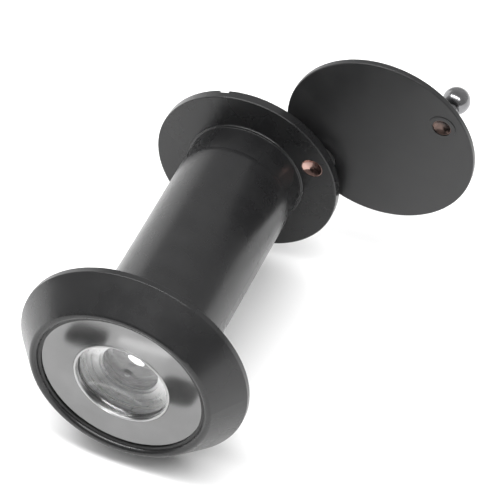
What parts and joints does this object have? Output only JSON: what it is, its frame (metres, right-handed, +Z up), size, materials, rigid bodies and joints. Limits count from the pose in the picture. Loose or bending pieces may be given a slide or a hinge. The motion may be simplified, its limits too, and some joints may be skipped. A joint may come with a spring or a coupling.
{
  "type": "door viewer",
  "caption": "Door viewer with a bevelled outer flange around a bright ring and a dished glass, a screwed barrel, and a round privacy cover that swings on a rivet by a ball knob.",
  "frame": {"origin": "centre of the outer flange's face that lies on the door's outside", "axes": "+Y along the viewer's axis from outdoors to the room, so the front glass faces -Y; +Z up, +X to the right seen from outdoors"},
  "size_m": [0.0407, 0.0453, 0.0338],
  "materials": {
    "black_metal": "satin black",
    "black_cover": "satin black, fine brushed",
    "black_ring": "matt black",
    "glass": "polished",
    "polished_ring": "mirror polished",
    "bright_aluminium": "turned, bright",
    "gasket": "matt",
    "copper": "bright, coppery",
    "steel": "plain",
    "knob_metal": "polished"
  },
  "bodies": {
    "barrel": {"outer_barrel": "black_metal", "lens_ring": "black_ring", "front_ring": "polished_ring", "rim_ring": "bright_aluminium", "front_lens": "glass", "seat_ring": "bright_aluminium", "gasket": "gasket", "lens_holder": "bright_aluminium", "second_lens": "glass", "spacer_ring": "black_ring", "relay_lens": "glass"},
    "eyepiece": {"ocular_lens": "glass", "ocular_ring": "black_ring"},
    "sleeve": {"inner_sleeve": "black_metal", "pivot_rivet": "copper", "plain_washer": "steel", "spring_washer": "steel", "rivet_washer": "steel"},
    "cover": {"cover": "black_cover", "knob": "knob_metal", "knob_rivet": "copper", "knob_washer": "black_cover"}
  },
  "joints": [
    {"name": "screw_travel", "type": "slide", "parent": "barrel", "child": "eyepiece", "axis": [0, 1, 0], "range_m": [0, 0.016]},
    {"name": "screw_turn", "type": "hinge", "parent": "eyepiece", "child": "sleeve", "pos_m": [0, 0.032, 0], "axis": [0, 1, 0], "range_deg": [0, 5760]},
    {"name": "cover_swing", "type": "hinge", "parent": "sleeve", "child": "cover", "pos_m": [0.00823, 0.034, 0.00358], "axis": [0, 1, 0], "continuous": true}
  ],
  "couplings": [
    {"joint": "screw_travel", "follows": "screw_turn", "m_per_rad": 0.00015915}
  ]
}
